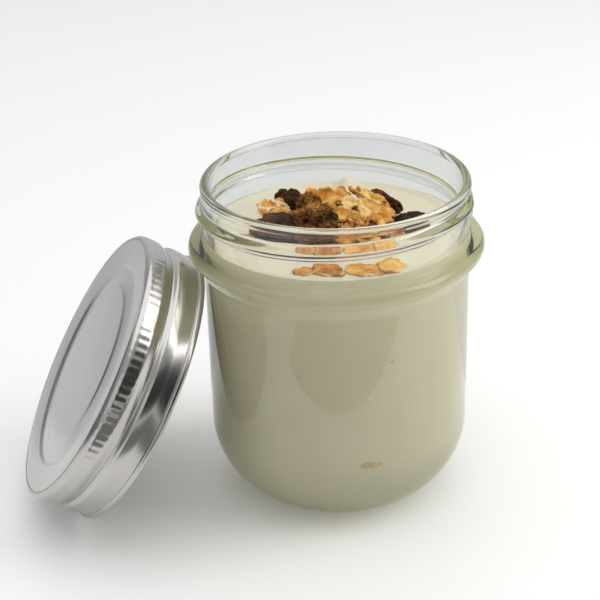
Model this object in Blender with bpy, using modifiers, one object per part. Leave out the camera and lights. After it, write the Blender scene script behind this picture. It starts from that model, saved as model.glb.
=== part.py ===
# A small glass jar of cream dessert, topped with oats and dried fruit, its metal screw lid leaning on its side
# Metres, +Z up. The origin is the middle of the jar's flat base.

import math

import bmesh
import bpy
from mathutils import Euler, Matrix, Vector, noise

MM = 0.001
TURN_STEPS = 48
GAP = 0.3 * MM

# The jar, of the kind that takes a 70 mm continuous-thread lid
JAR_HEIGHT = 85.6 * MM
BODY_RADIUS = 33.45 * MM
WALL = 2.4 * MM
BASE_THICKNESS = 4.5 * MM
HEEL_REACH = 19.0 * MM
HEEL_HEIGHT = 20.0 * MM
INNER_HEEL_REACH = 17.0 * MM
INNER_HEEL_HEIGHT = 17.5 * MM
LIP_RADIUS = 1.15 * MM
BEAD_HEIGHT = 68.6 * MM
BEAD_RADIUS = 37.15 * MM

# The glass thread, a half-round ridge that winds down clockwise seen from above
THREAD_RADIUS = 35.0 * MM
THREAD_CORD = 1.7 * MM
THREAD_PITCH = 6.35 * MM
THREAD_TOP = 81.5 * MM
THREAD_START = math.radians(3)
THREAD_SWEEP = math.radians(375)
THREAD_TAPER = math.radians(22)
THREAD_POINTS = 50

# The dessert, level below the thread
CREAM_LEVEL = 71.6 * MM
MENISCUS = 0.5 * MM

# The lid, of one piece of tinplate
LID_HEIGHT = 15.9 * MM
LID_RADIUS = 36.1 * MM
LID_WAIST = 34.95 * MM
LID_PLATE = 0.6 * MM
LID_PANEL = 21.3 * MM
LID_TILT = math.radians(30.7)
LID_TURN = math.radians(10)
LID_SIDE = -6.6 * MM
LID_CLEARANCE = 0.45 * MM

# Dried fruit and nut pieces: name, middle, size, yaw in degrees, lump depth, seed, colour.
# Middles and sizes are in millimetres on the dessert's surface.
FRUIT = [
    ("fruit_cluster", (-5.4, -3.8), (12.2, 16.4, 9.0), 8, 0.17, 3, (0.16, 0.07, 0.035)),
    ("raisin_front_left", (-16.6, -5.6), (9.8, 10.0, 5.0), -6, 0.10, 5, (0.035, 0.015, 0.02)),
    ("raisin_back_left", (-11.6, 12.0), (9.0, 6.4, 6.2), -24, 0.12, 8, (0.03, 0.013, 0.013)),
    ("raisin_back_right", (12.4, 8.4), (13.4, 5.0, 6.0), -50, 0.10, 11, (0.10, 0.025, 0.015)),
    ("raisin_right", (18.8, -3.6), (9.4, 7.0, 4.4), 12, 0.10, 14, (0.04, 0.02, 0.02)),
    ("nut_piece", (-15.8, 4.8), (8.6, 6.4, 6.4), 10, 0.12, 17, (0.80, 0.45, 0.18)),
]

# Oat flakes: middle above the dessert's surface, length, width, yaw, pitch and roll, curl over the length
FLAKES = [
    ((-0.6, 5.6, 5.4), 8.2, 6.2, 15, 38, 0, 140),
    ((2.9, -4.2, 4.7), 6.6, 5.0, 30, 40, 20, 110),
    ((4.4, 1.6, 6.1), 6.6, 3.2, -12, 14, 10, 30),
    ((8.0, -0.6, 5.6), 7.6, 5.4, -48, 26, 22, 25),
    ((9.0, 3.6, 6.2), 8.4, 3.2, -42, 24, 30, 20),
    ((5.4, 7.6, 5.6), 5.0, 3.2, 60, 55, 10, 35),
    ((11.2, -2.6, 4.0), 6.8, 4.8, 24, 20, -25, 30),
    ((2.6, -9.6, 2.4), 6.0, 4.6, 10, 12, 35, 30),
    ((7.6, -9.4, 2.0), 7.4, 4.8, -8, 10, 25, 25),
    ((12.2, -6.8, 2.6), 5.0, 4.2, 70, 35, 10, 40),
    ((1.4, 9.4, 3.0), 6.8, 5.2, 80, 15, -20, 25),
    ((15.0, -8.0, 1.5), 5.0, 3.8, 30, 8, 8, 20),
]
FLAKE_THICKNESS = 1.0 * MM
HEAP_MIDDLE = (5.6, -0.4)
HEAP_SIZE = (20.0, 20.0, 6.6)


# Scene and materials

def clear_scene():
    for item in list(bpy.data.objects):
        bpy.data.objects.remove(item, do_unlink=True)


def new_collection(name):
    collection = bpy.data.collections.new(name)
    bpy.context.scene.collection.children.link(collection)
    return collection


def new_material(name, colour, roughness, metallic=0.0, alpha=1.0):
    material = bpy.data.materials.new(name)
    material.use_nodes = True
    shader = material.node_tree.nodes["Principled BSDF"]
    shader.inputs["Base Color"].default_value = (*colour, 1.0)
    shader.inputs["Roughness"].default_value = roughness
    shader.inputs["Metallic"].default_value = metallic
    shader.inputs["Alpha"].default_value = alpha
    material.diffuse_color = (*colour, alpha)
    return material


def new_object(name, mesh, collection, material=None):
    item = bpy.data.objects.new(name, mesh)
    collection.objects.link(item)
    if material is not None:
        mesh.materials.append(material)
    return item


def mesh_from(name, bm):
    mesh = bpy.data.meshes.new(name)
    bm.to_mesh(mesh)
    bm.free()
    mesh.shade_smooth()
    return mesh


# Turned pieces

def arc(middle, radii, start, end, count):
    points = []
    for i in range(count + 1):
        angle = math.radians(start + (end - start) * i / count)
        points.append((middle[0] + radii[0] * math.cos(angle), middle[1] + radii[1] * math.sin(angle)))
    return points


def turned(name, profile, collection, material):
    mesh = bpy.data.meshes.new(name)
    points = [(radius, 0.0, height) for radius, height in profile]
    edges = [(i, i + 1) for i in range(len(points) - 1)]
    mesh.from_pydata(points, edges, [])
    item = new_object(name, mesh, collection, material)
    screw = item.modifiers.new("Turn", "SCREW")
    screw.axis = "Z"
    screw.steps = TURN_STEPS
    screw.render_steps = TURN_STEPS
    screw.use_merge_vertices = True
    screw.merge_threshold = 0.01 * MM
    screw.use_smooth_shade = True
    return item


# The jar: from the inner floor up the inner wall, over the lip and down the outside to the base

def jar_profile():
    inner = BODY_RADIUS - WALL
    lip = JAR_HEIGHT - LIP_RADIUS
    neck = BODY_RADIUS + 0.1 * MM
    rise = BEAD_HEIGHT - 2.2 * MM
    profile = [(0.0, BASE_THICKNESS)]
    profile += arc((inner - INNER_HEEL_REACH, BASE_THICKNESS + INNER_HEEL_HEIGHT),
                   (INNER_HEEL_REACH, INNER_HEEL_HEIGHT), -90, 0, 6)
    profile += [(inner, BEAD_HEIGHT)]
    profile += arc((neck - LIP_RADIUS, lip), (LIP_RADIUS, LIP_RADIUS), 180, 0, 6)
    profile += [(BODY_RADIUS, BEAD_HEIGHT + 2.3 * MM)]
    profile += [(BEAD_RADIUS - 1.5 * MM, BEAD_HEIGHT + 1.9 * MM)]
    profile += [(BEAD_RADIUS - 0.35 * MM, BEAD_HEIGHT + 1.2 * MM)]
    profile += [(BEAD_RADIUS, BEAD_HEIGHT)]
    profile += [(BEAD_RADIUS - 0.45 * MM, BEAD_HEIGHT - 1.2 * MM)]
    profile += [(BEAD_RADIUS - 1.55 * MM, rise)]
    profile += [(BODY_RADIUS, rise - 2.2 * MM)]
    profile += arc((BODY_RADIUS - HEEL_REACH, HEEL_HEIGHT), (HEEL_REACH, HEEL_HEIGHT), 0, -90, 7)
    profile += [(0.0, 0.0)]
    return profile


def thread_curve(collection):
    path = THREAD_RADIUS - THREAD_CORD
    curve = bpy.data.curves.new("thread", "CURVE")
    curve.dimensions = "3D"
    curve.bevel_depth = THREAD_CORD
    curve.bevel_resolution = 2
    curve.use_fill_caps = True
    spline = curve.splines.new("POLY")
    spline.points.add(THREAD_POINTS)
    for i, point in enumerate(spline.points):
        swept = THREAD_SWEEP * i / THREAD_POINTS
        angle = THREAD_START - swept
        height = THREAD_TOP - THREAD_PITCH * swept / math.tau
        point.co = (path * math.cos(angle), path * math.sin(angle), height, 1.0)
        from_end = min(swept, THREAD_SWEEP - swept)
        point.radius = max(0.05, min(1.0, from_end / THREAD_TAPER))
    return new_object("thread_curve", curve, collection)


def meshed(item, name, collection):
    evaluated = item.evaluated_get(bpy.context.evaluated_depsgraph_get())
    mesh = bpy.data.meshes.new_from_object(evaluated)
    bm = bmesh.new()
    bm.from_mesh(mesh)
    bmesh.ops.remove_doubles(bm, verts=bm.verts, dist=0.001 * MM)
    bmesh.ops.recalc_face_normals(bm, faces=bm.faces)
    bm.to_mesh(mesh)
    bm.free()
    result = bpy.data.objects.new(name, mesh)
    result.matrix_world = item.matrix_world
    collection.objects.link(result)
    bpy.data.objects.remove(item, do_unlink=True)
    return result


def boolean(item, name, operation, other):
    modifier = item.modifiers.new(name, "BOOLEAN")
    modifier.operation = operation
    modifier.solver = "EXACT"
    if isinstance(other, bpy.types.Collection):
        modifier.operand_type = "COLLECTION"
        modifier.collection = other
    else:
        modifier.object = other
    return modifier


def hide_guide(item):
    item.hide_render = True
    item.display_type = "WIRE"


def make_jar(parts, guides):
    glass = new_material("pale green glass", (0.80, 0.88, 0.82), 0.03, alpha=0.35)
    jar = turned("glass_jar", jar_profile(), parts, glass)
    bpy.context.view_layer.update()
    thread = meshed(thread_curve(guides), "thread", guides)
    hide_guide(thread)
    boolean(jar, "Thread", "UNION", thread)
    return jar


# The dessert fills the jar up to its level, with a small rise at the glass

def make_cream(parts):
    cream = new_material("vanilla cream", (0.83, 0.79, 0.64), 0.45)
    radius = BODY_RADIUS - WALL - GAP
    floor = BASE_THICKNESS + GAP
    profile = [(0.0, CREAM_LEVEL), (radius - 1.3 * MM, CREAM_LEVEL), (radius, CREAM_LEVEL + MENISCUS)]
    profile += arc((radius - INNER_HEEL_REACH, floor + INNER_HEEL_HEIGHT),
                   (INNER_HEEL_REACH, INNER_HEEL_HEIGHT), 0, -90, 6)
    profile += [(0.0, floor)]
    return turned("cream_filling", profile, parts, cream)


# The lid, drawn upright with its open edge at z = 0 and then laid against the jar

def lid_profile():
    top = LID_HEIGHT
    curl = (LID_RADIUS - 0.45 * MM, 0.7 * MM)
    plate = LID_PLATE
    outside = [(0.0, top - 0.2 * MM), (LID_PANEL, top - 0.2 * MM)]
    outside += [(LID_PANEL + 1.3 * MM, top - 0.9 * MM), (26.5 * MM, top - 1.2 * MM)]
    outside += [(31.0 * MM, top - 0.35 * MM), (32.3 * MM, top)]
    outside += arc((LID_RADIUS - 1.9 * MM, top - 1.7 * MM), (1.9 * MM, 1.7 * MM), 90, 0, 3)
    outside += [(LID_RADIUS, top - 4.6 * MM), (LID_RADIUS - 0.35 * MM, top - 5.4 * MM)]
    outside += [(LID_WAIST, top - 6.9 * MM), (LID_WAIST, top - 7.5 * MM)]
    outside += [(LID_RADIUS - 0.1 * MM, top - 8.6 * MM), (LID_RADIUS - 0.1 * MM, top - 10.8 * MM)]
    outside += [(LID_RADIUS - 0.55 * MM, top - 14.1 * MM)]
    edge = arc(curl, (0.6 * MM, 0.7 * MM), 60, -180, 5)
    inside = [(LID_RADIUS - 0.1 * MM - plate, top - 10.8 * MM), (LID_RADIUS - 0.1 * MM - plate, top - 8.6 * MM)]
    inside += [(LID_WAIST - plate, top - 7.5 * MM), (LID_WAIST - plate, top - 6.7 * MM)]
    inside += [(LID_RADIUS - plate, top - 4.6 * MM), (LID_RADIUS - plate, top - 1.9 * MM)]
    inside += [(30.2 * MM, top - 1.9 * MM), (29.6 * MM, top - 1.3 * MM)]
    inside += [(26.5 * MM, top - 1.2 * MM - plate), (LID_PANEL + 1.3 * MM, top - 0.9 * MM - plate)]
    inside += [(LID_PANEL - 0.2 * MM, top - 0.2 * MM - plate), (0.0, top - 0.2 * MM - plate)]
    return outside + edge + inside


def lay_lid(lid):
    # The lid stands on its open edge, turned so that its face looks up and away from the jar
    turn = Euler((0.0, -(math.pi / 2 - LID_TILT), LID_TURN))
    turned_lid = turn.to_matrix()
    points = []
    for radius, height in lid_profile():
        for i in range(TURN_STEPS):
            angle = math.tau * i / TURN_STEPS
            points.append(turned_lid @ Vector((radius * math.cos(angle), radius * math.sin(angle), height)))
    lowest = min(point.z for point in points)
    reach = BODY_RADIUS + LID_CLEARANCE
    near = [point for point in points if abs(point.y + LID_SIDE) < reach]
    across = min(-math.sqrt(reach ** 2 - (point.y + LID_SIDE) ** 2) - point.x for point in near)
    lid.rotation_euler = turn
    lid.location = (across, LID_SIDE, -lowest)


def make_lid(parts):
    tin = new_material("satin tinplate", (0.62, 0.61, 0.59), 0.32, metallic=1.0)
    lid = turned("metal_lid", lid_profile(), parts, tin)
    lay_lid(lid)
    return lid


# Dried fruit: a ball pulled into lumps by smooth noise, with a flat foot on the dessert

def lumpy_ball(size, yaw, depth, seed, subdivisions=3):
    bm = bmesh.new()
    bmesh.ops.create_icosphere(bm, subdivisions=subdivisions, radius=1.0)
    turn = Matrix.Rotation(math.radians(yaw), 3, "Z")
    half = Vector(size) * MM / 2
    for vertex in bm.verts:
        way = vertex.co.normalized()
        swell = 1.0 + depth * noise.noise(way * 2.6 + Vector((seed, 0.0, 0.0)))
        point = turn @ Vector((way.x * half.x, way.y * half.y, way.z * half.z)) * swell
        point.z = max(point.z + half.z * 0.72, 0.0)
        vertex.co = point
    return bm


def offset_copy(item, distance, collection):
    # A copy grown by a clearance, which the oats are cut with
    bm = bmesh.new()
    bm.from_mesh(item.data)
    bm.normal_update()
    moves = [(vertex, vertex.co + vertex.normal * distance) for vertex in bm.verts]
    for vertex, place in moves:
        vertex.co = place
    copy = new_object(item.name + "_room", mesh_from(item.name + "_room", bm), collection)
    copy.matrix_world = item.matrix_world
    hide_guide(copy)
    return copy


def make_fruit(parts, guides):
    for name, middle, size, yaw, depth, seed, colour in FRUIT:
        fruit = new_material(name.replace("_", " "), colour, 0.5)
        item = new_object(name, mesh_from(name, lumpy_ball(size, yaw, depth, seed)), parts, fruit)
        item.location = (middle[0] * MM, middle[1] * MM, CREAM_LEVEL + GAP)
        bpy.context.view_layer.update()
        offset_copy(item, GAP * 1.4, guides)


# Oats: flat lens-shaped flakes, curled along their length, fused on to a low mound

def flake_mesh(name, length, width, curl):
    bm = bmesh.new()
    bmesh.ops.create_uvsphere(bm, u_segments=8, v_segments=4, radius=0.5)
    bend = math.radians(curl)
    radius = length * MM / bend
    for vertex in bm.verts:
        along = vertex.co.x * length * MM / radius
        rise = vertex.co.z * FLAKE_THICKNESS * 1.3
        out = radius - rise
        vertex.co = Vector((out * math.sin(along), vertex.co.y * width * MM, radius - out * math.cos(along)))
    return mesh_from(name, bm)


def make_oats(parts, cutters):
    oats = new_material("toasted oats", (0.72, 0.42, 0.17), 0.6)
    flakes = new_collection("flakes")
    core = lumpy_ball(HEAP_SIZE, 0, 0.12, 23)
    heap = new_object("oat_heap", mesh_from("oat_heap", core), parts, oats)
    heap.location = (HEAP_MIDDLE[0] * MM, HEAP_MIDDLE[1] * MM, CREAM_LEVEL + GAP)
    for i, (middle, length, width, yaw, pitch, roll, curl) in enumerate(FLAKES):
        flake = new_object(f"flake_{i}", flake_mesh(f"flake_{i}", length, width, curl), flakes)
        flake.location = (middle[0] * MM, middle[1] * MM, CREAM_LEVEL + middle[2] * MM)
        flake.rotation_euler = [math.radians(angle) for angle in (roll, pitch, yaw)]
    boolean(heap, "Fuse", "UNION", flakes)
    boolean(heap, "Clear fruit", "DIFFERENCE", cutters)
    bpy.context.view_layer.update()
    evaluated = heap.evaluated_get(bpy.context.evaluated_depsgraph_get())
    fused = bpy.data.meshes.new_from_object(evaluated)
    heap.modifiers.clear()
    heap.data = fused
    for flake in list(flakes.objects):
        bpy.data.objects.remove(flake, do_unlink=True)
    bpy.data.collections.remove(flakes)
    return heap


def main():
    clear_scene()
    parts = new_collection("dessert jar")
    guides = new_collection("guides")
    room = new_collection("room for fruit")
    make_jar(parts, guides)
    make_cream(parts)
    make_lid(parts)
    make_fruit(parts, room)
    make_oats(parts, room)


main()
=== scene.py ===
# Glass jar of cream dessert with oats and dried fruit on top, its metal lid leaning on it

import math
import random
import time

import bpy
from mathutils import Euler, Matrix, Vector, noise


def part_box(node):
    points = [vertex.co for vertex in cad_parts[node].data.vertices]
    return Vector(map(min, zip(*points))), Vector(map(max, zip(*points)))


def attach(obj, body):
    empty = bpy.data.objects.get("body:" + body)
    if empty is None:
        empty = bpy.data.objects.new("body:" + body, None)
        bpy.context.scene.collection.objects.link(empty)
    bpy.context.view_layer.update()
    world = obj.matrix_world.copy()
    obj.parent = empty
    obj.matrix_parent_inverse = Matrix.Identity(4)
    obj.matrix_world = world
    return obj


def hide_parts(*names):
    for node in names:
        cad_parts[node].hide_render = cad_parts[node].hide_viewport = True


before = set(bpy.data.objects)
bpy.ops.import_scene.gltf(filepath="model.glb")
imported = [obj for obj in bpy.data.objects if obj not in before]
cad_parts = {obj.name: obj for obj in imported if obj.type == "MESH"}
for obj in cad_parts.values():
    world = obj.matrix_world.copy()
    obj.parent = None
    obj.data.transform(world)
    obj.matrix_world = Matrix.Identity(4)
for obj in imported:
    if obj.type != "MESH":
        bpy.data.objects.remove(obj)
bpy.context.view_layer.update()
mm = 0.001
began = time.time()


def report(*words):
    print(*words, round(time.time() - began, 1), "s")
# Small helpers for modelling

def deselectAll():
    bpy.ops.object.select_all(action="DESELECT")


def pick(piece):
    deselectAll()
    piece.select_set(True)
    bpy.context.view_layer.objects.active = piece


def added(name):
    piece = bpy.context.object
    piece.name = name
    piece.data.name = name
    return piece


def settle(piece):
    # the piece's place goes into its mesh
    pick(piece)
    bpy.ops.object.transform_apply(location=True, rotation=True, scale=True)
    return piece


def reshape(piece, rule):
    for vertex in piece.data.vertices:
        vertex.co = rule(vertex.co.copy())
    piece.data.update()
    return piece


def joined(name, pieces):
    deselectAll()
    for piece in pieces:
        piece.select_set(True)
    bpy.context.view_layer.objects.active = pieces[0]
    bpy.ops.object.join()
    return added(name)


def modified(piece, kind, settings):
    pick(piece)
    bpy.ops.object.modifier_add(type=kind)
    modifier = piece.modifiers[-1]
    for key, value in settings.items():
        setattr(modifier, key, value)
    bpy.ops.object.modifier_apply(modifier=modifier.name)
    return piece


def roughened(piece, kind, size, height, settings=None):
    # a Displace modifier pushes the surface out and in by a texture whose marks are size millimetres across
    texture = bpy.data.textures.new(piece.name + kind.title(), kind)
    texture.noise_scale = size * mm
    for key, value in (settings or {}).items():
        setattr(texture, key, value)
    push = {"texture": texture, "texture_coords": "LOCAL", "strength": height * mm, "mid_level": 0.5}
    return modified(piece, "DISPLACE", push)


def ends(piece):
    points = [vertex.co for vertex in piece.data.vertices]
    low = Vector([min(point[axis] for point in points) for axis in range(3)])
    high = Vector([max(point[axis] for point in points) for axis in range(3)])
    return low, high


toppingSink = 0.9  # how far each topping reaches down into the cream, below its node


def fitted(piece, node, above):
    # the piece fills its node's box, and reaches past it by the sink below and by so many millimetres above
    low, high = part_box(node)
    low, high = low - Vector((0, 0, toppingSink)) * mm, high + Vector(above) * mm
    first, last = ends(piece)
    ratio = [(high[axis] - low[axis]) / (last[axis] - first[axis]) for axis in range(3)]

    def stretched(point):
        return Vector([low[axis] + (point[axis] - first[axis]) * ratio[axis] for axis in range(3)])

    return reshape(piece, stretched)


def smoothStep(low, high, value):
    share = min(1.0, max(0.0, (value - low) / (high - low)))
    return share * share * (3 - 2 * share)


handleReach = 0.5523  # how far a rounding curve's handles reach towards the corner
wideRound = 5  # a cut from here up gets three times the points


def softLine(corners, perCorner=8):
    # (radius, height, cut) corners in millimetres; each is rounded off from its cut before to its cut after
    line = []
    for i, corner in enumerate(corners):
        here = Vector(corner[:2])
        cut = corner[2] if len(corner) > 2 else 0
        if not cut or i in (0, len(corners) - 1):
            line.append(here)
            continue
        before, after = cut if isinstance(cut, tuple) else (cut, cut)
        start = here + (Vector(corners[i - 1][:2]) - here).normalized() * before
        end = here + (Vector(corners[i + 1][:2]) - here).normalized() * after
        first, second = start.lerp(here, handleReach), end.lerp(here, handleReach)
        count = perCorner if max(before, after) < wideRound else perCorner * 3
        for k in range(count + 1):
            t = k / count
            rest = 1 - t
            line.append(rest ** 3 * start + 3 * rest ** 2 * t * first + 3 * rest * t * t * second + t ** 3 * end)
    return line


def finer(line, step, low, high):
    # straight stretches that lie between two heights get a point every step
    result = [line[0]]
    for last, point in zip(line, line[1:]):
        inZone = low <= last.y <= high and low <= point.y <= high
        count = max(1, math.ceil((point - last).length / step)) if inZone else 1
        result += [last.lerp(point, k / count) for k in range(1, count + 1)]
    return result


def spun(name, line, sides):
    # one point is drawn along the line by extruding it, and the line is spun round the upright axis
    deselectAll()
    bpy.ops.mesh.primitive_plane_add(size=mm)
    piece = added(name)
    bpy.ops.object.mode_set(mode="EDIT")
    bpy.ops.mesh.select_all(action="SELECT")
    bpy.ops.mesh.merge(type="CENTER")
    bpy.ops.transform.translate(value=(line[0].x * mm, 0, line[0].y * mm))
    for last, point in zip(line, line[1:]):
        step = ((point.x - last.x) * mm, 0, (point.y - last.y) * mm)
        bpy.ops.mesh.extrude_vertices_move(TRANSFORM_OT_translate={"value": step})
    report("drew", name, len(line), "points")
    bpy.ops.mesh.select_all(action="SELECT")
    bpy.ops.mesh.spin(steps=sides, angle=math.tau, center=(0, 0, 0), axis=(0, 0, 1))
    report("spun", name)
    bpy.ops.mesh.select_all(action="SELECT")
    bpy.ops.mesh.remove_doubles(threshold=0.002 * mm)
    bpy.ops.mesh.normals_make_consistent(inside=False)
    bpy.ops.object.mode_set(mode="OBJECT")
    bpy.ops.object.shade_smooth()
    return piece


# Shader maths: a Wire is a socket, and Python's operators on it add Math nodes

class Wire:
    def __init__(self, nodes, socket):
        self.nodes = nodes
        self.socket = socket

    def math(self, operation, first, second):
        return self.nodes.add("Math", {"operation": operation}, {0: first, 1: second})

    def __add__(self, other):
        return self.math("ADD", self, other)

    def __radd__(self, other):
        return self.math("ADD", other, self)

    def __sub__(self, other):
        return self.math("SUBTRACT", self, other)

    def __rsub__(self, other):
        return self.math("SUBTRACT", other, self)

    def __mul__(self, other):
        return self.math("MULTIPLY", self, other)

    def __rmul__(self, other):
        return self.math("MULTIPLY", other, self)


class Nodes:
    def __init__(self, tree):
        self.tree = tree

    def add(self, kind, settings=None, values=None, output=0):
        node = self.tree.nodes.new("ShaderNode" + kind)
        for key, value in (settings or {}).items():
            if key == "stops":
                self.setStops(node.color_ramp, value)
            else:
                setattr(node, key, value)
        for key, value in (values or {}).items():
            self.feed(node.inputs[key], value)
        return Wire(self, node.outputs[output])

    def feed(self, socket, value):
        if isinstance(value, Wire):
            self.tree.links.new(value.socket, socket)
        else:
            socket.default_value = value

    def setStops(self, ramp, stops):
        while len(ramp.elements) < len(stops):
            ramp.elements.new(0.5)
        for element, (position, colour) in zip(ramp.elements, stops):
            element.position = position
            element.color = (*colour, 1)


class Finish(Nodes):
    def __init__(self, name):
        self.material = bpy.data.materials.new(name)
        self.material.use_nodes = True
        super().__init__(self.material.node_tree)
        self.shader = self.tree.nodes["Principled BSDF"]
        self.output = self.tree.nodes["Material Output"]
        self.place = self.add("TexCoord", output="Object")

    def set(self, values):
        for key, value in values.items():
            self.feed(self.shader.inputs[key], value)

    def noise(self, scale, detail=3):
        return self.add("TexNoise", {}, {"Vector": self.place, "Scale": scale, "Detail": detail}, "Fac")

    def cells(self, scale):
        values = {"Vector": self.place, "Scale": scale}
        return self.add("TexVoronoi", {"feature": "DISTANCE_TO_EDGE"}, values, "Distance")

    def ramp(self, factor, stops):
        return self.add("ValToRGB", {"stops": stops}, {"Fac": factor})

    def span(self, value, low, high, toLow=0.0, toHigh=1.0):
        values = {"Value": value, "From Min": low, "From Max": high, "To Min": toLow, "To Max": toHigh}
        return self.add("MapRange", {}, values)

    def blend(self, factor, first, second):
        return self.add("Mix", {"data_type": "RGBA"}, {0: factor, 6: first, 7: second}, 2)

    def bump(self, height, strength, distance):
        return self.add("Bump", {}, {"Height": height, "Strength": strength, "Distance": distance})

    def on(self, piece):
        piece.data.materials.clear()
        piece.data.materials.append(self.material)


def dress(piece, finish, node=None):
    finish.on(piece)
    if node:
        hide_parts(node)
    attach(piece, "root")
    report("made", piece.name, len(piece.data.polygons), "faces")


# Glass: clear, with a faint green-yellow tint that deepens with thickness. Lamp light passes straight through.

glassLook = {
    "tint": (0.70, 0.72, 0.46), "density": 58, "ior": 1.5, "roughness": 0.012, "lampLight": (0.95, 0.955, 0.93),
}


def makeGlassFinish():
    finish = Finish("clearGlass")
    finish.set({"Base Color": (1, 1, 1, 1), "Transmission Weight": 1.0, "IOR": glassLook["ior"],
                "Roughness": glassLook["roughness"]})
    finish.set({"Normal": finish.bump(finish.noise(45, 2), 0.08, 0.0006)})
    through = finish.add("BsdfTransparent", {}, {"Color": (*glassLook["lampLight"], 1)})
    isShadow = finish.add("LightPath", {}, {}, "Is Shadow Ray")
    surface = finish.add("MixShader", {}, {0: isShadow, 1: Wire(finish, finish.shader.outputs[0]), 2: through})
    finish.feed(finish.output.inputs["Surface"], surface)
    volume = finish.add("VolumeAbsorption", {}, {"Color": (*glassLook["tint"], 1), "Density": glassLook["density"]})
    finish.feed(finish.output.inputs["Volume"], volume)
    return finish


# The jar, in millimetres

jar = {
    "height": 85.6, "lip": 33.6, "lipLow": 84.0, "neck": 33.42, "neckTop": 83.6, "neckLow": 70.8,
    "bead": 37.2, "beadTop": 70.3, "beadLow": 67.7, "body": 33.45, "bodyTop": 64.1, "heel": (20.0, 19.0),
    "foot": 12.5, "recess": 11.8, "recessEdge": 0.5, "recessMiddle": 0.6,
    "floor": 4.5, "inner": 31.05, "innerTop": 73, "innerHeel": (17.0, 17.5), "mouth": 31.3, "mouthLow": 80,
    "sides": 256,
}
thread = {
    "crest": 35.0, "pitch": 6.35, "top": 81.5, "start": 3, "sweep": 375, "taper": 24, "halfWidth": 1.95,
    "bulge": 1.15, "from": 71, "to": 84.4, "skin": 0.6, "fineFrom": 70.9, "fineTo": 83.8, "fineStep": 0.3,
}


def threadRise(angle, height):
    # how far the glass thread stands off the neck at an angle and a height
    rise = 0.0
    turned = (math.radians(thread["start"]) - angle) % math.tau
    sweep = math.radians(thread["sweep"])
    while turned <= sweep:
        middle = thread["top"] - thread["pitch"] * turned / math.tau
        off = abs(height - middle) / thread["halfWidth"]
        if off < 1:
            fade = smoothStep(0, math.radians(thread["taper"]), min(turned, sweep - turned))
            rise = max(rise, fade * math.cos(off * math.pi / 2) ** thread["bulge"])
        turned += math.tau
    return rise * (thread["crest"] - jar["neck"])


def makeJar(finish):
    # from the middle of the floor inside, up to the lip, down the outside and in under the base
    corners = [
        (0, jar["floor"]), (jar["inner"], jar["floor"], jar["innerHeel"]), (jar["inner"], jar["innerTop"], 3),
        (jar["mouth"], jar["mouthLow"], 3), (jar["mouth"], jar["height"], 1.15), (jar["lip"], jar["height"], 1.15),
        (jar["lip"], jar["lipLow"], 0.3), (jar["neck"], jar["neckTop"], 0.2), (jar["neck"], jar["neckLow"], 0.5),
        (jar["bead"], jar["beadTop"], (1.7, 1.5)), (jar["bead"], jar["beadLow"], 0.9),
        (jar["body"], jar["bodyTop"], 2.2), (jar["body"], 0, jar["heel"]),
        (jar["foot"], 0, 0.6), (jar["recess"], jar["recessEdge"], 0.6), (0, jar["recessMiddle"]),
    ]
    line = finer(softLine(corners), thread["fineStep"], thread["fineFrom"], thread["fineTo"])
    piece = spun("glassJar", line, jar["sides"])

    def windThread(point):
        # only the neck's outer skin takes the thread
        radius = math.hypot(point.x, point.y)
        inZone = thread["from"] * mm < point.z < thread["to"] * mm
        if radius < (jar["neck"] - thread["skin"]) * mm or not inZone:
            return point
        rise = threadRise(math.atan2(point.y, point.x), point.z / mm) * mm
        return Vector((point.x * (radius + rise) / radius, point.y * (radius + rise) / radius, point.z))

    reshape(piece, windThread)
    dress(piece, finish, "glass_jar")


# The cream dessert reaches just into the glass, so no air shows between them

cream = {
    "level": 71.6, "rise": 0.7, "riseWidth": 1.6, "reach": 0.06, "sides": 160, "flatTo": 29,
    "ripple": 0.5, "rippleRate": 70, "rippleFade": (26, 30.5), "edge": 30.9,
    "lump": (3.3, 29.0), "lumpHeight": 1.9, "lumpWidth": 2.4,
}


def makeCreamFinish():
    finish = Finish("vanillaCream")
    colour = finish.ramp(finish.noise(60, 3), [(0.3, (0.725, 0.68, 0.525)), (0.7, (0.765, 0.72, 0.575))])
    finish.set({"Base Color": colour, "Roughness": finish.span(finish.noise(900, 2), 0.3, 0.7, 0.3, 0.45),
                "IOR": 1.42, "Subsurface Weight": 0.25, "Subsurface Radius": (1.0, 0.75, 0.45),
                "Subsurface Scale": 0.003})
    finish.set({"Normal": finish.bump(finish.noise(220, 3), 0.15, 0.0004)})
    return finish


def creamRadius(height):
    # the cream's outer radius at a height, in millimetres
    outer = jar["inner"] + cream["reach"]
    wide, high = jar["innerHeel"]
    below = (jar["floor"] + high - height) / high
    return outer if below <= 0 else outer - wide + wide * math.sqrt(max(0, 1 - below * below))


def makeCream(finish):
    outer = jar["inner"] + cream["reach"]
    floor = jar["floor"] - cream["reach"]
    wide, high = jar["innerHeel"]
    corners = [(cream["flatTo"], cream["level"]), (outer - cream["riseWidth"], cream["level"], 0.5),
               (outer, cream["level"] + cream["rise"], 0.2), (outer, floor, (high, wide)), (0, floor)]
    line = [Vector((radius, cream["level"])) for radius in range(cream["flatTo"])] + softLine(corners, 6)
    piece = spun("creamFilling", line, cream["sides"])
    lump = Vector((*cream["lump"], cream["level"])) * mm

    def ripple(point):
        # the top is faintly uneven, and has a small lump at the back
        radius = math.hypot(point.x, point.y) / mm
        if point.z < (cream["level"] - 0.01) * mm or radius > cream["edge"]:
            return point
        wave = noise.noise(point * cream["rippleRate"]) * cream["ripple"]
        wave *= 1 - smoothStep(*cream["rippleFade"], radius)
        away = (point - lump).length / mm / cream["lumpWidth"]
        point.z += (wave + cream["lumpHeight"] * math.exp(-away ** 4)) * mm
        return point

    reshape(piece, ripple)
    dress(piece, finish, "cream_filling")


# The lid: drawn upright as it would sit on a jar, then laid where the solid lid lies

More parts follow.
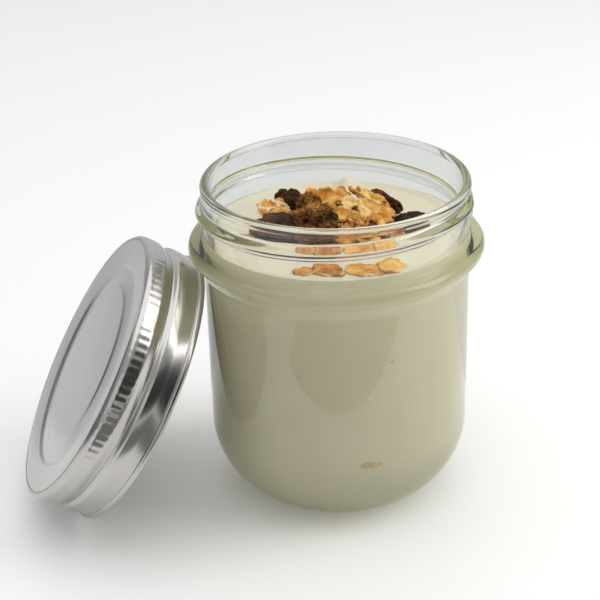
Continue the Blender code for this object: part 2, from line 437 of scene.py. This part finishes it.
lid = {
    "height": 15.9, "rim": 36.1, "waist": 34.95, "skirt": 36.0, "curl": 36.3, "plate": 0.6, "panel": 21.6,
    "flutes": 108, "perFlute": 6, "fluteDepth": 0.075, "flutesFrom": 1.2, "flutesTo": 4.9, "fluteFade": 0.7,
    "shoulder": 1.9, "shoulderInset": 1.4, "sideInset": 0.45, "fineStep": 0.7, "tilt": 30.7, "turn": 10,
}


def makeTinFinish():
    finish = Finish("satinTinplate")
    grain, cloud = finish.noise(1800, 2), finish.noise(60, 3)
    tone = finish.ramp(cloud, [(0.3, (0.53, 0.515, 0.495)), (0.7, (0.575, 0.56, 0.54))])
    roughness = finish.span(grain * 0.4 + cloud * 0.6, 0.3, 0.7, 0.19, 0.24)
    finish.set({"Base Color": tone, "Metallic": 1.0, "Roughness": roughness})
    finish.set({"Normal": finish.bump(grain, 0.04, 0.0001)})
    return finish


def lidLine():
    # (radius, drop from the top, cut), in millimetres
    top, rim, waist, skirt, curl, plate = [lid[key] for key in ("height", "rim", "waist", "skirt", "curl", "plate")]
    drops = [
        # the pressed face, from its middle out
        (0, 0.3), (lid["panel"], 0.3, 0.3), (22.4, 0.6, 0.2), (26.8, 1.0, 0.2), (27.6, 0.5, 0.2), (34.3, 0, 0.8),
        # the fluted rim, the waist, the skirt and its rolled edge
        (rim, 0, 1.7), (rim, 4.8, 0.7), (waist, 6.9, 0.8), (waist, 7.6, 0.3),
        (skirt, 8.5, 0.5), (skirt, 10.9, 0.5), (skirt - 0.45, 14.2, 0.1),
        (curl, 14.35, 0.45), (curl, 15.9, 0.7), (curl - 1.25, 15.9, 0.55), (curl - 1.25, 14.3, 0.3),
        # the inside, back up and in
        (skirt - plate, 10.9, 0.5), (skirt - plate, 8.6, 0.4), (waist - plate, 7.6, 0.3), (waist - plate, 6.8, 0.6),
        (rim - plate, 4.7, 0.6), (rim - plate, 1.9, 0.5), (30.5, 1.9, 0.3), (29.8, 1.3, 0.2), (27.8, 1.3, 0.2),
        (26.9, 1.65, 0.2), (22.2, 1.25, 0.2), (lid["panel"] - 0.1, 0.9, 0.2), (0, 0.9),
    ]
    corners = [(radius, top - drop, *cut) for radius, drop, *cut in drops]
    return finer(softLine(corners, 3), lid["fineStep"], top - lid["flutesTo"] - 0.3, top - 1)


def laid(piece, shift=None):
    # the lid is tipped onto its edge and moved to its node; what lies in it takes the same shift
    piece.rotation_euler = Euler((0, -math.radians(90 - lid["tilt"]), math.radians(lid["turn"])))
    settle(piece)
    if shift is None:
        low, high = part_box("metal_lid")
        first, last = ends(piece)
        shift = (low + high - first - last) / 2
    piece.location = shift
    settle(piece)
    return shift


def makeLid(finish):
    piece = spun("metalLid", lidLine(), lid["flutes"] * lid["perFlute"])

    def flute(point):
        radius = math.hypot(point.x, point.y)
        drop = lid["height"] - point.z / mm
        inset = lid["shoulderInset"] if drop < lid["shoulder"] else lid["sideInset"]
        start, end, fade = lid["flutesFrom"], lid["flutesTo"], lid["fluteFade"]
        if radius <= (lid["rim"] - inset) * mm or not start < drop < end:
            return point
        strength = smoothStep(start, start + fade, drop) * smoothStep(-end, fade - end, -drop)
        wave = 0.5 - 0.5 * math.cos(math.atan2(point.y, point.x) * lid["flutes"])
        dip = lid["fluteDepth"] * strength * wave * mm
        return Vector((point.x * (radius - dip) / radius, point.y * (radius - dip) / radius, point.z))

    reshape(piece, flute)
    shift = laid(piece)
    dress(piece, finish, "metal_lid")
    return shift


# The pale sealing ring inside the lid

sealingRing = {"inner": 31.4, "outer": 35.2, "drop": 1.85, "thickness": 0.9, "sides": 180}


def makeSealingRing(shift):
    finish = Finish("sealingCompound")
    tone = finish.ramp(finish.noise(120), [(0.3, (0.72, 0.70, 0.64)), (0.7, (0.78, 0.76, 0.71))])
    finish.set({"Base Color": tone, "Roughness": 0.5})
    inner, outer = sealingRing["inner"], sealingRing["outer"]
    top = lid["height"] - sealingRing["drop"]
    low = top - sealingRing["thickness"]
    middle = (inner + outer) / 2
    corners = [(middle, low + 0.25, 0.5), (outer, low, 0.4), (outer, top, 0.2), (inner, top, 0.2), (inner, low, 0.4)]
    line = softLine(corners + corners[:1], 3)
    piece = spun("sealingRing", line, sealingRing["sides"])
    laid(piece, shift)
    dress(piece, finish)


# Raisins: each starts as a ball, gets its folds from Displace modifiers and then its own proportions

raisins = {
    "raisin_front_left": {"size": (14, 10, 3.4), "yaw": -4, "lean": 24, "seed": 3, "above": (4.6, 0.6, 0.7),
                          "slot": "dark_raisin"},
    "raisin_back_left": {"size": (7.6, 6.4, 6.2), "yaw": -24, "lean": 0, "seed": 8, "above": (-1.0, 0, 0.6),
                         "slot": "dark_raisin"},
    "raisin_back_right": {"size": (14.4, 4.6, 6.0), "yaw": -50, "lean": 0, "seed": 5, "above": (0, 0, 1.0),
                          "slot": "red_raisin"},
    "raisin_right": {"size": (9.4, 7.0, 3.0), "yaw": 12, "lean": 22, "seed": 11, "above": (0, 0.4, 0.7),
                     "slot": "dark_raisin"},
}
ridges = {"musgrave_type": "RIDGED_MULTIFRACTAL", "octaves": 3}


def makeRaisinFinish(name, dark, light):
    finish = Finish(name)
    folds = finish.noise(520, 4)
    bloom = finish.noise(160, 3)
    colour = finish.blend(finish.span(bloom, 0.35, 0.7), (*dark, 1), (*light, 1))
    finish.set({"Base Color": colour, "Roughness": finish.span(folds, 0.3, 0.7, 0.36, 0.62)})
    finish.set({"Specular IOR Level": 0.1, "Normal": finish.bump(folds, 0.7, 0.0006)})
    return finish


def makeBall(name, seed):
    # each ball stands at a place of its own in the textures, so no two fold alike
    deselectAll()
    spot = (seed * 23 * mm, seed * 7 * mm, 0)
    bpy.ops.mesh.primitive_ico_sphere_add(subdivisions=6, radius=5 * mm, location=spot)
    return settle(added(name))


def proportioned(piece, size, yaw, lean):
    first, last = ends(piece)
    middle = (first + last) / 2

    def sized(point):
        sides = zip(point, middle, size, first, last)
        return Vector([(here - centre) * length * mm / (high - low) for here, centre, length, low, high in sides])

    reshape(piece, sized)
    piece.rotation_euler = (math.radians(lean), 0, math.radians(yaw))
    return settle(piece)


def makeRaisins():
    finishes = {
        "dark_raisin": makeRaisinFinish("darkRaisin", (0.018, 0.007, 0.004), (0.13, 0.055, 0.025)),
        "red_raisin": makeRaisinFinish("redRaisin", (0.05, 0.013, 0.006), (0.22, 0.07, 0.032)),
    }
    for node, look in raisins.items():
        words = node.split("_")
        name = words[0] + "".join(word.title() for word in words[1:])
        piece = makeBall(name, look["seed"])
        roughened(piece, "CLOUDS", 4.5, 3.0)
        roughened(piece, "MUSGRAVE", 2.6, 0.9, ridges)
        modified(piece, "SMOOTH", {"factor": 0.5, "iterations": 3})
        proportioned(piece, look["size"], look["yaw"], look["lean"])
        fitted(piece, node, above=look["above"])
        pick(piece)
        bpy.ops.object.shade_smooth()
        dress(piece, finishes[look["slot"]], node)


# The lumpy brown fruit: rosy at the left, olive at the right, and a lighter golden on top that is a painted highlight

fruitLobes = [
    (-6.6, 2.6, 76.9, 3.6, 2.8, 4.0), (-3.0, -5.4, 75.2, 4.0, 4.2, 3.6), (-9.2, -2.4, 75.0, 2.6, 3.6, 2.8),
    (-5.8, -1.4, 76.0, 3.6, 3.6, 3.0), (-5.2, -9.0, 73.6, 5.0, 3.2, 2.6), (-2.2, 1.0, 74.4, 2.6, 3.2, 2.8),
]
fruitLook = {
    "rosy": [(0.38, (0.05, 0.017, 0.006)), (0.52, (0.23, 0.085, 0.028)), (0.66, (0.58, 0.28, 0.10))],
    "olive": [(0.40, (0.028, 0.011, 0.003)), (0.53, (0.20, 0.085, 0.018)), (0.66, (0.62, 0.32, 0.08))],
    # the lighter golden ramp and its heights make a painted highlight on the top
    "golden": [(0.38, (0.16, 0.05, 0.01)), (0.52, (0.44, 0.19, 0.035)), (0.66, (0.74, 0.40, 0.11))],
    "oliveFrom": (-0.003, -0.0005), "goldenFrom": (0.0806, 0.0820), "voxel": 0.2,
}


def makeFruitFinish():
    finish = Finish("brownFruit")
    patch, fine = finish.noise(190, 4), finish.noise(1100, 3)
    shade = patch * 0.55 + fine * 0.45
    rosy = finish.ramp(shade, fruitLook["rosy"])
    olive = finish.ramp(shade, fruitLook["olive"])
    along = finish.add("SeparateXYZ", {}, {0: finish.place}, "X")
    colour = finish.blend(finish.span(along + patch * 0.006, *fruitLook["oliveFrom"]), rosy, olive)
    # the top is painted a lighter golden, a painted highlight where the light from above falls
    up = finish.add("SeparateXYZ", {}, {0: finish.place}, "Z")
    golden = finish.ramp(shade, fruitLook["golden"])
    colour = finish.blend(finish.span(up + patch * 0.004, *fruitLook["goldenFrom"]), colour, golden)
    finish.set({"Base Color": colour, "Roughness": finish.span(fine, 0.3, 0.7, 0.5, 0.8), "Specular IOR Level": 0.1})
    finish.set({"Normal": finish.bump(fine * 0.5 + finish.span(finish.cells(700), 0, 0.3, 0, 0.5), 1.0, 0.0009)})
    return finish


def makeFruit(finish):
    lobes = []
    for x, y, z, *scale in fruitLobes:
        deselectAll()
        place = (x * mm, y * mm, z * mm)
        bpy.ops.mesh.primitive_ico_sphere_add(subdivisions=4, radius=mm, location=place, scale=scale)
        lobes.append(added("lobe"))
    piece = joined("fruitCluster", lobes)
    settle(piece)
    modified(piece, "REMESH", {"mode": "VOXEL", "voxel_size": fruitLook["voxel"] * mm})
    modified(piece, "SMOOTH", {"factor": 0.5, "iterations": 8})
    roughened(piece, "CLOUDS", 2.2, 2.0)
    roughened(piece, "MUSGRAVE", 1.2, 0.5, ridges)
    modified(piece, "SMOOTH", {"factor": 0.5, "iterations": 2})
    fitted(piece, "fruit_cluster", above=(0, 0.6, 1.0))
    pick(piece)
    bpy.ops.object.shade_smooth()
    dress(piece, finish, "fruit_cluster")


# The nut: broken chunks, each with its middle, three widths, yaw and lean

nutChunks = [
    (-17.7, 4.6, 75.0, 3.6, 4.4, 4.6, 20, 24), (-13.7, 4.8, 75.2, 3.0, 4.2, 5.0, -22, 30),
    (-15.8, 3.4, 73.8, 4.6, 3.8, 3.4, 40, 12), (-15.9, 5.8, 76.0, 2.2, 2.4, 3.0, 10, 50),
]
nutLook = {
    "seam": (0.95, 0.82, 0.52, 1), "skin": [(0.35, (0.60, 0.19, 0.025)), (0.65, (0.94, 0.54, 0.14))], "voxel": 0.14,
}


def makeNutFinish():
    finish = Finish("roastedNut")
    ridge = finish.span(finish.cells(330), 0.02, 0.16)
    patch = finish.noise(300, 3)
    colour = finish.blend(ridge, nutLook["seam"], finish.ramp(patch, nutLook["skin"]))
    finish.set({"Base Color": colour, "Roughness": 0.5, "Specular IOR Level": 0.2})
    finish.set({"Normal": finish.bump(patch, 0.6, 0.0006)})
    return finish


def makeNut(finish):
    chunks = []
    for x, y, z, wide, deep, high, yaw, lean in nutChunks:
        deselectAll()
        place, turns = (x * mm, y * mm, z * mm), [math.radians(angle) for angle in (lean, -lean, yaw)]
        bpy.ops.mesh.primitive_cube_add(size=mm, location=place, rotation=turns, scale=(wide, deep, high))
        chunks.append(added("chunk"))
    piece = settle(joined("nutPiece", chunks))
    modified(piece, "REMESH", {"mode": "VOXEL", "voxel_size": nutLook["voxel"] * mm})
    roughened(piece, "CLOUDS", 2.0, 1.3)
    modified(piece, "SMOOTH", {"factor": 0.5, "iterations": 3})
    fitted(piece, "nut_piece", above=(0, 0, 0.5))
    pick(piece)
    bpy.ops.object.shade_smooth()
    dress(piece, finish, "nut_piece")


# Oat flakes: a row has the middle (x, y, above the cream), length, width, yaw, pitch, roll, curl and tone
flakes = [
    ((-2.4, 4.8, 6.3), 5.6, 5.4, 20, 4, 38, 130, 0.5), ((1.3, 5.6, 6.4), 5.0, 4.6, -25, 8, 32, 100, 0.6),
    ((4.8, 8.4, 6.6), 4.0, 2.4, 50, 40, 30, 60, 0.55), ((6.4, 8.2, 6.2), 3.6, 2.0, -60, 35, 30, 50, 0.4),
    ((3.6, 2.4, 5.9), 4.8, 3.0, -10, 6, 34, 40, 0.95), ((8.2, 0.4, 5.2), 6.8, 5.0, -38, 10, 36, 28, 0.85),
    ((9.6, 4.6, 6.3), 8.6, 2.8, -38, 16, 34, 20, 0.8), ((11.6, 3.0, 5.2), 7.6, 2.6, -40, 16, 34, 20, 0.65),
    ((2.2, -2.6, 4.8), 5.4, 4.4, 16, 6, 34, 90, 0.6), ((4.8, -4.2, 4.2), 4.0, 3.6, -20, 10, 40, 120, 0.75),
    ((11.6, -1.6, 4.0), 6.6, 5.0, -30, 14, 30, 30, 0.45), ((7.2, -4.8, 3.4), 5.0, 3.8, 50, 10, 30, 40, 0.5),
    ((2.4, -9.4, 2.0), 5.6, 4.4, 10, 4, 40, 30, 0.3), ((7.2, -9.2, 2.0), 7.0, 4.6, -8, 6, 36, 25, 0.6),
    ((11.8, -6.4, 3.0), 4.6, 4.6, 60, 10, 36, 40, 0.75), ((15.0, -7.4, 1.6), 4.6, 3.6, 30, 6, 30, 20, 0.2),
    ((1.4, 9.4, 3.0), 6.8, 5.2, 80, 15, -20, 25, 0.4), ((-1.8, 1.4, 4.8), 4.4, 3.4, -20, 10, 30, 50, 0.35),
    ((13.2, 0.6, 3.2), 5.0, 3.4, -50, 20, 10, 30, 0.5), ((8.0, 8.0, 3.6), 5.6, 4.0, 30, 10, -30, 30, 0.5),
]
looseFlakes = [
    ((-13.6, -0.2, 4.3), 6.4, 3.2, 6, 4, 26, 30, 0.8), ((-5.6, 6.4, 6.8), 4.0, 3.2, 10, 20, 20, 60, 0.3),
    ((14.8, -1.8, 3.0), 3.0, 2.0, 20, 14, 20, 30, 0.0), ((22.2, -1.6, 0.5), 4.6, 3.0, -24, 6, 15, 20, 0.3),
    ((19.6, -7.4, 0.4), 1.9, 1.4, 50, 6, 5, 20, 0.35), ((-21.0, -5.4, 0.2), 6.0, 3.4, 10, 4, 6, 10, 0.45),
    ((-7.2, -25.0, 0.0), 5.0, 3.8, 12, 2, 4, 14, 0.3), ((-1.8, -25.0, 0.2), 7.8, 5.0, -14, 2, 4, 14, 0.15),
    ((6.2, -25.2, 0.1), 9.6, 5.6, -8, 2, 4, 14, 0.35), ((12.6, -23.4, 0.3), 6.2, 6.4, 22, 2, 6, 16, 0.65),
]
heap = {"middle": (5.6, -0.4), "wide": 15.6, "deep": 19.0, "high": 4.2, "sink": 0.3, "bits": 40}
flakeShape = {
    "thickness": 0.7, "ragged": [(0.34, 1.3), (0.2, 3.4), (0.08, 9)], "split": 0.24, "splitAt": 0.3,
    "splitWidth": 0.16, "groove": 0.5, "grooveWidth": 0.55, "wave": 0.9, "waveRate": 0.4, "fineWave": 0.35,
    "wavyCurl": 30, "bow": 0.03,
}
oatTones = {
    "face": [(0.0, (0.22, 0.055, 0.008)), (0.25, (0.66, 0.26, 0.035)), (0.55, (0.92, 0.54, 0.12)),
             (0.9, (0.96, 0.78, 0.40))],
    "rim": [(0.4, (0.40, 0.17, 0.04)), (0.52, (0.66, 0.36, 0.11)), (0.62, (0.91, 0.68, 0.38))],
}


def makeOatFinish():
    # each flake's mark holds its tone, from toasted 0 to pale 1, and how near a point is to its rim
    finish = Finish("toastedOats")
    mark = finish.add("Attribute", {"attribute_name": "flakeMark"}, {}, "Color")
    tone = finish.add("SeparateColor", {}, {"Color": mark}, "Red")
    edge = finish.add("SeparateColor", {}, {"Color": mark}, "Green")
    patch, fine = finish.noise(420, 4), finish.noise(1500, 3)
    shade = tone * 0.7 + patch * 0.9 + fine * 0.4 - 0.6
    colour = finish.ramp(shade, oatTones["face"])
    rim = finish.ramp(finish.noise(260, 2), oatTones["rim"])
    colour = finish.blend(edge * 0.85, colour, rim)
    finish.set({"Base Color": colour, "Roughness": finish.span(fine, 0.3, 0.7, 0.5, 0.8), "Subsurface Weight": 0.12,
                "Subsurface Radius": (1.0, 0.5, 0.2), "Subsurface Scale": 0.0012, "Specular IOR Level": 0.2})
    finish.set({"Normal": finish.bump(patch * 0.6 + fine * 0.4, 0.7, 0.0006)})
    return finish


def markFlake(piece, tone, edges):
    layer = piece.data.color_attributes.new("flakeMark", "FLOAT_COLOR", "POINT")
    for i, edge in enumerate(edges):
        layer.data[i].color = (tone, edge, 0, 1)


def rounded(point):
    # a square grid's point goes to its place on a disc
    u, v = point.x, point.y
    return u * math.sqrt(1 - v * v / 2), v * math.sqrt(1 - u * u / 2)


def makeFlake(spot, length, width, yaw, pitch, roll, curl, tone, seed, across=(26, 20)):
    deselectAll()
    bpy.ops.mesh.primitive_grid_add(x_subdivisions=across[0], y_subdivisions=across[1], size=2)
    piece = added("flake")
    shape = flakeShape
    bend = math.radians(curl)
    edges = []

    def rule(point):
        # a ragged, split outline, then a groove and waves, then the curl across its width
        x, y = rounded(point)
        reach, angle = math.hypot(x, y), math.atan2(y, x)
        around = Vector((math.cos(angle), math.sin(angle), seed * 1.7))
        ragged = 1
        for strength, rate in shape["ragged"]:
            ragged += strength * noise.noise(around * rate)
        split = shape["split"] * math.exp(-((angle - shape["splitAt"]) / shape["splitWidth"]) ** 2) * reach ** 3
        x, y = x * (ragged - split) * length / 2, y * ragged * width / 2
        groove = shape["groove"] * math.exp(-(y / shape["grooveWidth"]) ** 2) * (1 - reach * reach)
        wave = shape["wave"] * noise.noise(Vector((x * shape["waveRate"], y * shape["waveRate"], seed * 3.1)))
        wave += shape["fineWave"] * noise.noise(Vector((x, y, seed * 2.3)))
        z = (wave - groove) * min(1, curl / shape["wavyCurl"])
        turn = y * bend / width
        y, z = (width / bend - z) * math.sin(turn), width / bend - (width / bend - z) * math.cos(turn)
        z += shape["bow"] * curl / shape["wavyCurl"] * x * x / length * 2
        edges.append(smoothStep(0.7, 1.0, reach))
        return Vector((x, y, z)) * mm

    reshape(piece, rule)
    markFlake(piece, tone, edges)
    modified(piece, "SOLIDIFY", {"thickness": shape["thickness"] * mm, "offset": 0})
    piece.rotation_euler = [math.radians(angle) for angle in (roll, pitch, yaw)]
    piece.location = Vector((spot[0], spot[1], cream["level"] + spot[2])) * mm
    return settle(piece)


def makePaintedShadeMound():
    # the low mound under the flakes, in the darkest toasted tone: painted shade for the gaps between them
    bpy.ops.mesh.primitive_ico_sphere_add(subdivisions=5, radius=mm)
    piece = added("core")
    piece.scale = (heap["wide"] / 2, heap["deep"] / 2, heap["high"])
    piece.location = Vector((*heap["middle"], cream["level"] - heap["sink"])) * mm
    settle(piece)
    roughened(piece, "VORONOI", 2.4, 2.4)
    roughened(piece, "CLOUDS", 1.6, 1.2)
    # the darkest tone, 0.02, paints the mound as the shade that shows between the flakes
    markFlake(piece, 0.02, [0.0] * len(piece.data.vertices))
    return piece


def makeBits():
    # small broken bits, strewn over the mound of painted shade
    rng = random.Random(7)
    bits = []
    for k in range(heap["bits"]):
        angle, out = rng.uniform(0, math.tau), math.sqrt(rng.uniform(0.02, 1.0))
        x = heap["middle"][0] + out * math.cos(angle) * heap["wide"] / 2
        y = heap["middle"][1] + out * math.sin(angle) * heap["deep"] / 2
        z = heap["high"] * math.sqrt(max(0, 1 - out * out)) + 0.1
        length = rng.uniform(2.0, 4.4)
        turns = (rng.uniform(-90, 90), rng.uniform(-35, 35), rng.uniform(-35, 35))
        width = length * rng.uniform(0.5, 0.8)
        curl, tone = rng.uniform(20, 60), rng.uniform(0, 0.6)
        bits.append(makeFlake((x, y, z), length, width, *turns, curl, tone, 40 + k, (10, 8)))
    return bits


def makeOats(finish):
    pieces = [makeFlake(*flake, seed) for seed, flake in enumerate(flakes)]
    pieces.append(makePaintedShadeMound())
    piece = joined("oatHeap", pieces + makeBits())
    bpy.ops.object.shade_smooth()
    dress(piece, finish, "oat_heap")
    loose = joined("looseFlakes", [makeFlake(*flake, 20 + seed) for seed, flake in enumerate(looseFlakes)])
    bpy.ops.object.shade_smooth()
    dress(loose, finish)


# One oat sliver lies in the cream against the glass, low at the front, with a speck above it

sunkOats = [
    {"angle": -76.0, "height": 21.2, "length": 5.6, "width": 2.1, "turn": -6},
    {"angle": -66.0, "height": 49.2, "length": 1.0, "width": 0.7, "turn": 20},
]
sunkOatLook = {
    "tones": [(0.3, (0.62, 0.43, 0.22)), (0.7, (0.78, 0.62, 0.40))], "bulge": 0.14, "sink": 0.04, "thickness": 0.3,
}


def makeSunkOats():
    finish = Finish("sunkOat")
    finish.set({"Base Color": finish.ramp(finish.noise(500), sunkOatLook["tones"]), "Roughness": 0.6})
    pieces = []
    for seed, oat in enumerate(sunkOats):
        deselectAll()
        bpy.ops.mesh.primitive_grid_add(x_subdivisions=20, y_subdivisions=14, size=2)
        turn = math.radians(oat["turn"])

        def wrap(point):
            # the sliver is laid round the cream's side
            x, y = rounded(point)
            reach = math.hypot(x, y)
            ragged = 1 + 0.2 * noise.noise(Vector((x * 2, y * 2, seed + 0.5)))
            x, y = x * ragged * oat["length"] / 2, y * ragged * oat["width"] / 2
            along, up = x * math.cos(turn) - y * math.sin(turn), x * math.sin(turn) + y * math.cos(turn)
            height = oat["height"] + up
            radius = creamRadius(height) + sunkOatLook["bulge"] * (1 - reach ** 4) - sunkOatLook["sink"]
            angle = math.radians(oat["angle"]) + along / radius
            return Vector((radius * math.cos(angle), radius * math.sin(angle), height)) * mm

        sliver = reshape(added("sliver"), wrap)
        pieces.append(modified(sliver, "SOLIDIFY", {"thickness": sunkOatLook["thickness"] * mm, "offset": -1}))
    piece = joined("sunkOats", pieces)
    bpy.ops.object.shade_smooth()
    dress(piece, finish)


# Camera, light and floor

cameraView = {"place": (0.0, -0.351214, 0.224242), "pitch": 26.147, "pan": -1.5516, "roll": -1.6128, "lens": 91.387}
studio = {
    "skyHigh": 0.5, "skyLow": 0.14, "highAt": 0.9, "skyBack": 0.5, "backFrom": 0.55, "backTo": 0.95,
    "floorSize": 6, "floorTone": 0.96, "floorGlow": 0.09, "lampAim": (0, 0, 0.04),
}
lamps = {
    "keyLight": {"place": (0.6, -0.03, 0.52), "size": (0.5, 0.6), "power": 2.3},
    "topLight": {"place": (-0.05, 0.05, 1.0), "size": (1.2, 1.2), "power": 4.2},
    "fillLight": {"place": (-0.25, -0.9, 0.4), "size": (0.9, 0.6), "power": 0.8},
}
cards = {
    "darkCard": {"place": (0.34, -0.52, 0.18), "aim": (0, 0, 0.04), "size": (0.54, 0.42), "tone": (0.01, 0.01, 0.01)},
    "darkMat": {"place": (0.03, -0.19, 0.0005), "aim": (0.03, -0.19, 1), "size": (0.2, 0.2),
                "tone": (0.18, 0.18, 0.18)},
    "sideCard": {"place": (0.3, 0.14, 0.12), "aim": (0, 0, 0.08), "size": (0.32, 0.26), "tone": (0.1, 0.1, 0.1)},
    "backMat": {"place": (0, 0.695, 0.0005), "aim": (0, 0.695, 1), "size": (1.6, 1.3), "tone": (0.80, 0.825, 0.855)},
}


def makeCamera():
    bpy.ops.object.camera_add(location=cameraView["place"])
    camera = bpy.context.object
    camera.name = "photoCamera"
    pan = Matrix.Rotation(-math.radians(cameraView["pan"]), 3, "Z")
    pitch = Matrix.Rotation(math.radians(90 - cameraView["pitch"]), 3, "X")
    roll = Matrix.Rotation(math.radians(cameraView["roll"]), 3, "Z")
    camera.rotation_euler = (pan @ pitch @ roll).to_euler()
    camera.data.sensor_width = 36
    camera.data.lens = cameraView["lens"]
    camera.data.clip_start = 0.01
    bpy.context.scene.camera = camera
    report("placed the camera")


def facing(place, aim):
    return (Vector(aim) - Vector(place)).to_track_quat("-Z", "Y").to_euler()


def makeLamp(name, place, size, power):
    bpy.ops.object.light_add(type="AREA", location=place, rotation=facing(place, studio["lampAim"]))
    light = bpy.context.object
    light.name = name
    light.data.shape = "RECTANGLE"
    light.data.size, light.data.size_y = size
    light.data.energy = power


def makeCard(name, place, aim, size, tone):
    # the camera doesn't see a card or mat, but the lid and the glass reflect it
    bpy.ops.mesh.primitive_plane_add(size=1, location=place, rotation=facing(place, aim))
    card = added(name)
    card.scale = (*size, 1)
    finish = Finish(name)
    finish.set({"Base Color": (*tone, 1), "Roughness": 0.9})
    finish.on(card)
    card.visible_camera = card.visible_diffuse = card.visible_shadow = card.visible_transmission = False
    return settle(card)


def makeSky():
    # brighter overhead and straight behind the part
    world = bpy.data.worlds.new("studio")
    bpy.context.scene.world = world
    world.use_nodes = True
    sky = Nodes(world.node_tree)
    direction = sky.add("TexCoord", output="Generated")
    height = sky.add("SeparateXYZ", {}, {0: direction}, "Z")
    depth = sky.add("SeparateXYZ", {}, {0: direction}, "Y")
    overhead = {"Value": height, "From Min": 0.0, "From Max": studio["highAt"],
                "To Min": studio["skyLow"], "To Max": studio["skyHigh"]}
    behind = {"Value": depth, "From Min": studio["backFrom"], "From Max": studio["backTo"],
              "To Min": 0.0, "To Max": studio["skyBack"]}
    background = world.node_tree.nodes["Background"]
    sky.feed(background.inputs["Strength"], sky.add("MapRange", {}, overhead) + sky.add("MapRange", {}, behind))
    background.inputs["Color"].default_value = (1, 1, 1, 1)


def makeStudio():
    makeSky()
    deselectAll()
    bpy.ops.mesh.primitive_plane_add(size=studio["floorSize"])
    floor = added("floor")
    finish = Finish("palePaper")
    tone = studio["floorTone"]
    finish.set({"Base Color": (tone, tone, tone, 1), "Roughness": 0.9, "Emission Color": (1, 1, 1, 1),
                "Emission Strength": studio["floorGlow"]})
    finish.on(floor)
    card, mat, side, back = [makeCard(name, **look) for name, look in cards.items()]
    side.visible_transmission = back.visible_transmission = True  # these two also show through the glass
    for name, look in lamps.items():
        makeLamp(name, **look)
    bpy.context.scene.view_settings.view_transform = "Standard"
    report("lit the studio")


deselectAll()
makeCamera()
makeStudio()
makeJar(makeGlassFinish())
makeCream(makeCreamFinish())
lidShift = makeLid(makeTinFinish())
makeSealingRing(lidShift)
makeRaisins()
makeFruit(makeFruitFinish())
makeNut(makeNutFinish())
makeOats(makeOatFinish())
makeSunkOats()
